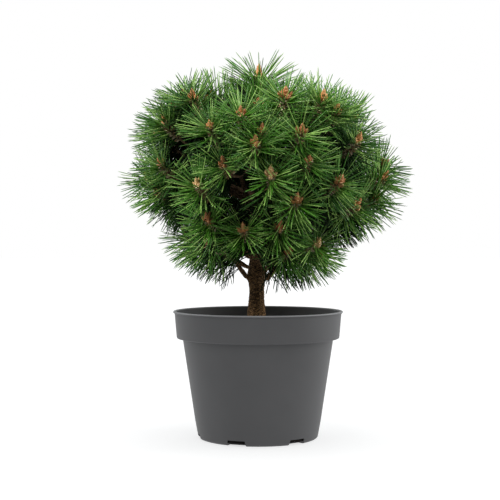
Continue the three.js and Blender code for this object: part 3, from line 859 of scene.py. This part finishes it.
strewing = np.random.default_rng(88)
loose_points, loose_faces, loose_tints = [], [], []
for number in range(CRUMBS + CHIPS):
    is_chip = number >= CRUMBS
    around = strewing.uniform(0, 2 * math.pi)
    outward = STREWN_RADIUS * math.sqrt(strewing.uniform(0.06, 1))
    middle = Vector((outward * math.cos(around), outward * math.sin(around), mix_level(outward)))
    tilt = strewing.uniform(-LOOSE_TILT, LOOSE_TILT, 3)
    tilt[2] += strewing.uniform(0, 6.28)
    long = strewing.uniform(*(CHIP_REACH if is_chip else CRUMB_REACH))
    thick = strewing.uniform(*(CHIP_THICKNESS if is_chip else CRUMB_THICKNESS))
    if not is_chip:
        thick *= long
    wide = 0.6 if is_chip else 0.9
    under = len(loose_points)
    above = under + CHIP_SIDES
    for height, size in ((-thick, 0.85), (thick, 1.0 if is_chip else 0.6)):
        for x, y in CHIP_OUTLINE:
            corner = Vector((x * long * size, y * long * size * wide, height))
            corner *= strewing.uniform(0.85, 1.1)
            corner.rotate(Euler(tilt))
            loose_points.append(tuple(middle + corner))
    loose_faces.append(tuple(under + i for i in reversed(range(CHIP_SIDES))))
    loose_faces.append(tuple(above + i for i in range(CHIP_SIDES)))
    loose_faces += band(under, above, CHIP_SIDES)
    tint = strewing.integers(1, 4) if is_chip else strewing.integers(0, 2)
    loose_tints += [int(tint)] * (CHIP_SIDES + 2)
loose_browns = [
    plain_material("peat_brown", (0.018, 0.011, 0.007), 0.95, 0.2),
    plain_material("crumb_brown", (0.050, 0.030, 0.018), 0.95, 0.2),
    plain_material("bark_chip_brown", (0.110, 0.062, 0.034), 0.9, 0.2),
    plain_material("bark_chip_tan", (0.200, 0.125, 0.070), 0.9, 0.2),
]
crumbs = mesh_piece(
    "crumbs_and_bark_chips", loose_points, loose_faces, loose_browns, loose_tints, smooth=False
)
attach(crumbs, "root")


# ---- Needles ----
# Pairs of stiff needles, each pair out of one short papery sheath. They crowd under the bud and
# stand out all round it like a brush, and the older ones further down the shoot stand back more.
NEEDLE_LENGTH = 0.0375
NEEDLE_HALF_WIDTH = 0.00060
NEEDLE_SIDES = 3
NEEDLE_RINGS = [(0.0, 0.80), (0.45, 1.0), (0.92, 0.70)]  # share of the length, and of the width
NEEDLE_POINTS = len(NEEDLE_RINGS) * NEEDLE_SIDES + 1
GOLDEN_TURN = math.radians(137.508)
LEAST_SPREAD = 12  # degrees off the shoot
MOST_SPREAD = 92
SPREAD_STRAY = 9
TURN_STRAY = 0.12
PAIR_GAPE = (3.5, 8.5)  # degrees that each needle leans off its pair's middle
PAIR_CURL = 0.02  # how much the two bend back together
PAIR_GAP = 0.00045
NEEDLE_SEAT = 0.0013  # off the middle of the shoot
SHEATH_SEAT = 0.0010
WAVER = 0.02  # how much each needle strays and bends on its own
SWEEP = 0.05  # how much the needles bend on towards the bud
LENGTH_STRAY = (0.93, 1.04)
YOUNG_PAIRS = 74
YOUNG_TOP = 0.001  # below the bud, as the next three
YOUNG_DEPTH = 0.025
YOUNG_REACH = 0.026
OLD_TOP = 0.024
OLD_PAIRS = 62
OLD_PAIRS_LOW = 22  # mostly shed where the crown's underside is shaded
BOUGH_PAIRS = 12
STEM_CLEAR = (-0.026, 0.004)  # no needle hangs here beside the stem's fork, from left to right
STEM_CLEAR_TOP = 0.203
# hollows between the masses, where shaded needles were shed: each a middle and its reach
HOLLOWS = [
    ((-0.019, -0.085, 0.278), (0.014, 0.075, 0.022)),
    ((-0.086, -0.060, 0.318), (0.013, 0.060, 0.011)),
]
WAXY = (0.38, 0.30)  # roughness and sheen
DULL = (0.75, 0.10)
# the greens darken from the fresh needles at the bud to the old ones deep in the crown: partly with
# age, partly as painted shade of the crown's interior
GREENS = [
    ("fresh_green", (0.064, 0.196, 0.016), WAXY),
    ("leaf_green", (0.050, 0.164, 0.012), WAXY),
    ("mid_green", (0.038, 0.130, 0.010), WAXY),
    ("blue_green", (0.030, 0.104, 0.014), WAXY),
    ("deep_shaded_green", (0.009, 0.030, 0.005), DULL),
    ("old_and_shaded_green", (0.005, 0.014, 0.003), DULL),
    ("bloom_and_highlight_green", (0.225, 0.385, 0.085), WAXY),
    ("shaded_bloom_green", (0.040, 0.090, 0.020), DULL),
]
FRESH_GREEN, DEEP_SHADED_GREEN, OLD_AND_SHADED_GREEN = 0, 4, 5  # their places in the list
# the green of each needle's flat inner side: pale stomatal bloom, made paler still as a painted
# highlight, and darker where the needle's own green is a painted shade
BLOOM_AND_HIGHLIGHT_SIDE = {0: 6, 1: 6, 2: 6, 3: 6, 4: 7, 5: 5}  # the green of a needle's flat inner side

greens = [plain_material(name, colour, *shine) for name, colour, shine in GREENS]
dice = np.random.default_rng(4107)


def is_clear(places):
    """True where a place lies neither beside the bare fork of the stem nor in a shaded hollow."""
    x, z = places[:, 0], places[:, 2]
    clear = (x < STEM_CLEAR[0]) | (x > STEM_CLEAR[1]) | (z > STEM_CLEAR_TOP)
    for middle, reach in HOLLOWS:
        clear &= np.linalg.norm((places - middle) / reach, axis=1) > 1
    return clear


def brush(curve, shares, spreads, lengths, tints):
    """Pairs of needles up a shoot: for each pair its share of the way up, how far it spreads off
    the shoot in degrees, its length and its green. Returns roots, ways, arcs, lengths and tints
    of the needles, and roots and ways of the sheaths."""
    points, headings = along(curve, shares)
    across, over = square_to(headings)
    count = len(shares)
    turn = np.arange(count) * GOLDEN_TURN + dice.uniform(0, 6.28)
    turn = turn + dice.normal(0, TURN_STRAY, count)
    spread = np.radians(np.maximum(spreads + dice.normal(0, SPREAD_STRAY, count), LEAST_SPREAD))
    out = across * np.cos(turn)[:, None] + over * np.sin(turn)[:, None]
    way = headings * np.cos(spread)[:, None] + out * np.sin(spread)[:, None]
    clear = is_clear(points + way * (lengths * 0.5)[:, None])
    clear &= is_clear(points + way * lengths[:, None])
    points, headings, out, way, lengths, tints = (
        part[clear] for part in (points, headings, out, way, lengths, tints)
    )
    side = np.cross(way, out)
    side /= np.maximum(np.linalg.norm(side, axis=1)[:, None], 1e-6)
    pairs = len(points)
    twist = dice.uniform(0, math.pi, pairs)[:, None]
    apart = side * np.cos(twist) + np.cross(way, side) * np.sin(twist)
    both = []
    for hand in (-1, 1):
        gape = np.radians(dice.uniform(*PAIR_GAPE, pairs))[:, None]
        lean = way + apart * hand * np.tan(gape) + dice.normal(0, WAVER, way.shape)
        lean /= np.linalg.norm(lean, axis=1)[:, None]
        arc = apart * -hand * PAIR_CURL + headings * SWEEP + dice.normal(0, WAVER, way.shape)
        root = points + out * NEEDLE_SEAT + apart * hand * PAIR_GAP
        both.append((root, lean, arc, lengths * dice.uniform(*LENGTH_STRAY, pairs), tints))
    sheaths = (points + out * SHEATH_SEAT, way)
    return [np.concatenate(parts) for parts in zip(*both)], sheaths


def young_brush(shoot, length, tone):
    """This year's needles, on the last two and a half centimetres under the bud. On the leader
    they are spaced more evenly, stand up more, and are longer and a shade deeper."""
    is_leader = shoot[2] == LEADER_BUD
    crowding, nearest, stretch = (1.0, 34, 1.26) if is_leader else (1.4, 42, 1.0)
    back = YOUNG_TOP + YOUNG_DEPTH * np.sort(dice.uniform(0, 1, YOUNG_PAIRS) ** crowding)
    depth = back / YOUNG_REACH
    spreads = nearest + (MOST_SPREAD - nearest) * depth**0.6
    # the greens darken down the shoot, partly with age and partly as painted shade of the crown's
    # interior
    tints = (tone + np.floor(depth * 2.2) + dice.integers(0, 2)).astype(int)
    if is_leader:
        tints += 1
    tints = np.clip(tints, FRESH_GREEN, DEEP_SHADED_GREEN)
    lengths = NEEDLE_LENGTH * stretch * np.where(back < 0.004, 0.92, 1.0)
    return brush(shoot, 1 - back / length, spreads, lengths, tints)


def old_brush(shoot, length, count):
    """Last year's needles, further down the shoot."""
    back = OLD_TOP + (length - YOUNG_REACH) * dice.uniform(0, 1, count)
    spreads = 70 + 22 * dice.uniform(0, 1, count)
    # old needles take the darkest greens, partly with age and partly as painted shade of the
    # crown's interior
    tints = np.full(count, DEEP_SHADED_GREEN + dice.integers(0, 2))
    shares = np.clip(1 - back / length, 0.03, 1)
    return brush(shoot, shares, spreads, np.full(count, NEEDLE_LENGTH * 0.96), tints)[0]


def bough_brush(bough):
    """A thin brush of the oldest needles on the outer bough."""
    shares = dice.uniform(0.7, 1, BOUGH_PAIRS)
    spreads = 62 + 20 * dice.uniform(0, 1, BOUGH_PAIRS)
    lengths = np.full(BOUGH_PAIRS, NEEDLE_LENGTH * 0.92)
    # the bough's needles take the darkest green, partly with age and partly as painted shade of the
    # crown's interior
    return brush(bough, shares, spreads, lengths, np.full(BOUGH_PAIRS, OLD_AND_SHADED_GREEN))[0]


def needle_mesh(roots, ways, arcs, lengths):
    """Three-sided tapering needles, each with a closed root and one point at its tip."""
    across, over = square_to(ways)
    twist = dice.uniform(0, 2 * math.pi, len(roots))[:, None]
    points = np.empty((len(roots), NEEDLE_POINTS, 3))
    for ring, (share, taper) in enumerate(NEEDLE_RINGS):
        centre = roots + ways * (lengths * share)[:, None] + arcs * (lengths * share**2)[:, None]
        for side in range(NEEDLE_SIDES):
            turn = 2 * math.pi * side / NEEDLE_SIDES + twist
            out = across * np.cos(turn) + over * np.sin(turn)
            points[:, ring * NEEDLE_SIDES + side] = centre + out * NEEDLE_HALF_WIDTH * taper
    points[:, -1] = roots + ways * lengths[:, None] + arcs * lengths[:, None]
    pattern = [(0, 2, 1)] + band(0, 3, NEEDLE_SIDES) + band(3, 6, NEEDLE_SIDES)
    pattern += [(6, 7, 9), (7, 8, 9), (8, 6, 9)]
    return points.reshape(-1, 3), pattern


def joined_mesh(name, points, pattern, per_shape, count, materials, tints):
    """One mesh of many like shapes, built from arrays, with a material for each face or shape."""
    sizes = np.array([len(face) for face in pattern], np.int32)
    corners = np.concatenate([np.array(face, np.int32) for face in pattern])
    loops = (corners[None, :] + (np.arange(count, dtype=np.int32) * per_shape)[:, None]).ravel()
    totals = np.tile(sizes, count)
    starts = np.concatenate([[0], np.cumsum(totals)[:-1]]).astype(np.int32)
    mesh = bpy.data.meshes.new(name)
    mesh.vertices.add(len(points))
    mesh.vertices.foreach_set("co", points.astype(np.float32).ravel())
    mesh.loops.add(len(loops))
    mesh.loops.foreach_set("vertex_index", loops)
    mesh.polygons.add(len(totals))
    mesh.polygons.foreach_set("loop_start", starts)
    mesh.polygons.foreach_set("loop_total", totals)
    for material in materials:
        mesh.materials.append(material)
    tints = np.asarray(tints, np.int32).reshape(count, -1)
    tints = np.broadcast_to(tints, (count, len(pattern))).ravel()
    mesh.polygons.foreach_set("material_index", tints)
    mesh.polygons.foreach_set("use_smooth", np.ones(len(totals), bool))
    mesh.update(calc_edges=True)
    mesh.validate()
    piece = bpy.data.objects.new(name, mesh)
    scene.collection.objects.link(piece)
    return piece


all_sheaths = []
for tier, _, _ in WHORLS:
    parts = []
    for mass in masses:
        if mass["tier"] != tier:
            continue
        tone = dice.integers(0, 3)
        for shoot in mass["shoots"]:
            length = (shoot[2] - shoot[0]).length
            young, sheaths = young_brush(shoot, length, tone)
            old = old_brush(shoot, length, OLD_PAIRS_LOW if tier == "low" else OLD_PAIRS)
            parts += [young, old]
            all_sheaths.append(sheaths)
        if mass["bough"]:
            parts.append(bough_brush(mass["bough"]))
    roots, ways, arcs, lengths, tints = (np.concatenate(part) for part in zip(*parts))
    points, pattern = needle_mesh(roots, ways, arcs, lengths)
    tints = np.repeat(tints[:, None], len(pattern), axis=1)
    # one side of each needle takes the pale bloom green, which is partly a painted highlight
    tints[:, 3::3] = np.vectorize(BLOOM_AND_HIGHLIGHT_SIDE.get)(tints[:, 3::3])
    needles = joined_mesh(
        f"needle_sprays_{tier}", points, pattern, NEEDLE_POINTS, len(roots), greens, tints
    )
    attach(needles, "root")
    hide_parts(*["needles_" + mass["name"] for mass in masses if mass["tier"] == tier])


# ---- Sheaths ----
# Thin papery sleeves, pale tan or brown and half a centimetre long, one at the foot of each pair
# of this year's needles.
SHEATH_LENGTH = 0.0050
SHEATH_SIDES = 4
SHEATH_RINGS = [(0.0, 0.00080), (0.55, 0.00105), (1.0, 0.00090)]  # share of the length, radius
SHEATH_POINTS = len(SHEATH_RINGS) * SHEATH_SIDES

roots, ways = (np.concatenate(part) for part in zip(*all_sheaths))
across, over = square_to(ways)
points = np.empty((len(roots), SHEATH_POINTS, 3))
for ring, (share, radius) in enumerate(SHEATH_RINGS):
    centre = roots + ways * SHEATH_LENGTH * share
    for side in range(SHEATH_SIDES):
        turn = 2 * math.pi * side / SHEATH_SIDES
        out = across * math.cos(turn) + over * math.sin(turn)
        points[:, ring * SHEATH_SIDES + side] = centre + out * radius
pattern = [(3, 2, 1, 0), (8, 9, 10, 11)] + band(0, 4, SHEATH_SIDES) + band(4, 8, SHEATH_SIDES)
papers = [
    plain_material("sheath_tan", (0.62, 0.50, 0.33), 0.7, 0.3),
    plain_material("sheath_brown", (0.34, 0.22, 0.11), 0.7, 0.3),
]
tints = dice.integers(0, 2, len(roots))
sheaths = joined_mesh(
    "papery_sheaths", points.reshape(-1, 3), pattern, SHEATH_POINTS, len(roots), papers, tints
)
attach(sheaths, "root")


# ---- Buds ----
# Each shoot ends in one upright winter bud with two to four smaller ones round its foot, all of
# them closed in overlapping resinous scales with paler edges.
BUD_SIDES = 7
BUD_ROWS = 6
MAIN_LENGTH, MAIN_WIDTH = (0.0112, 0.0134), (0.0032, 0.0036)
SIDE_LENGTH, SIDE_WIDTH = (0.0066, 0.0090), (0.0025, 0.0030)
SIDE_BUDS = (2, 5)  # two to four
SIDE_OFFSET = 0.0031
SIDE_SINK = 0.001
SIDE_LEAN = (0.30, 0.62)
GROWTH = (0.68, 1.04)
LEADER_GROWTH = 1.3
BUD_LIFT = np.array((0, 0, 0.9))
SCALE_STEPS = [(0.0, 0.86), (0.93, 1.12)]  # a scale's foot and edge: rise in its row, and swell
SCALE_TIP = 0.06
WARMTHS = [0, 0, 0, 1, 1, 2]  # half of the buds are orange, a third red and the rest straw


def bud_shape():
    """A bud one unit long: rows of scales that each step in under the next one's edge."""
    points, faces, edges = [], [], []
    for row in range(BUD_ROWS):
        for step, (rise, swell) in enumerate(SCALE_STEPS):
            height = row / BUD_ROWS + rise / BUD_ROWS
            girth = math.sin(math.pi * min(1.0, 0.24 + 0.76 * height)) ** 0.62 * (1 - 0.22 * height)
            for side in range(BUD_SIDES):
                turn = 2 * math.pi * (side + 0.5 * (row % 2)) / BUD_SIDES
                tip = SCALE_TIP if step and side % 2 == row % 2 else 0.0
                x, y = girth * swell * math.cos(turn), girth * swell * math.sin(turn)
                points.append((x, y, height + tip))
    rings = 2 * BUD_ROWS
    for ring in range(rings - 1):
        faces += band(ring * BUD_SIDES, (ring + 1) * BUD_SIDES, BUD_SIDES)
        edges += [ring % 2] * BUD_SIDES
    points.append((0, 0, 1 + SCALE_TIP))
    top = (rings - 1) * BUD_SIDES
    for side in range(BUD_SIDES):
        faces.append((top + side, top + (side + 1) % BUD_SIDES, len(points) - 1))
    faces.append(tuple(reversed(range(BUD_SIDES))))
    edges += [0] * (BUD_SIDES + 1)
    return np.array(points), faces, edges


shape, shape_faces, shape_edges = bud_shape()
bud_points, bud_faces, bud_tints = [], [], []


def set_bud(root, way, length, width, warmth):
    across, over = (direction[0] for direction in square_to(np.array([way])))
    turn = dice.uniform(0, 6.28)
    first = across * math.cos(turn) + over * math.sin(turn)
    second = np.cross(way, first)
    placed = shape[:, :1] * first * width + shape[:, 1:2] * second * width
    placed += shape[:, 2:] * np.array(way) * length
    base = len(bud_points)
    bud_points.extend((placed + np.array(root)).tolist())
    bud_faces.extend(tuple(base + corner for corner in face) for face in shape_faces)
    bud_tints.extend(2 * warmth + edge for edge in shape_edges)


for mass in masses:
    for shoot in mass["shoots"]:
        tip = np.array(shoot[2])
        heading = np.array((shoot[2] - shoot[1]).normalized())
        upright = heading + BUD_LIFT
        upright /= np.linalg.norm(upright)
        warmth = int(dice.choice(WARMTHS))
        growth = LEADER_GROWTH if shoot[2] == LEADER_BUD else dice.uniform(*GROWTH)
        length, width = growth * dice.uniform(*MAIN_LENGTH), growth * dice.uniform(*MAIN_WIDTH)
        set_bud(tip, upright, length, width, warmth)
        count = int(dice.integers(*SIDE_BUDS))
        across, over = (direction[0] for direction in square_to(np.array([heading])))
        for i in range(count):
            turn = 2 * math.pi * (i / count) + dice.uniform(-0.4, 0.4)
            out = across * math.cos(turn) + over * math.sin(turn)
            way = upright + out * dice.uniform(*SIDE_LEAN)
            way /= np.linalg.norm(way)
            foot = tip + out * SIDE_OFFSET * growth - heading * SIDE_SINK
            length, width = growth * dice.uniform(*SIDE_LENGTH), growth * dice.uniform(*SIDE_WIDTH)
            set_bud(foot, way, length, width, warmth)

bud_finishes = [
    plain_material("bud_orange_brown", (0.500, 0.225, 0.075), 0.5),
    plain_material("bud_orange_edge", (0.720, 0.470, 0.240), 0.6),
    plain_material("bud_red_brown", (0.400, 0.160, 0.055), 0.5),
    plain_material("bud_red_edge", (0.600, 0.350, 0.170), 0.6),
    plain_material("bud_straw", (0.520, 0.320, 0.130), 0.5),
    plain_material("bud_straw_edge", (0.680, 0.500, 0.280), 0.6),
]
buds = mesh_piece("winter_buds", bud_points, bud_faces, bud_finishes, bud_tints, smooth=False)
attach(buds, "root")
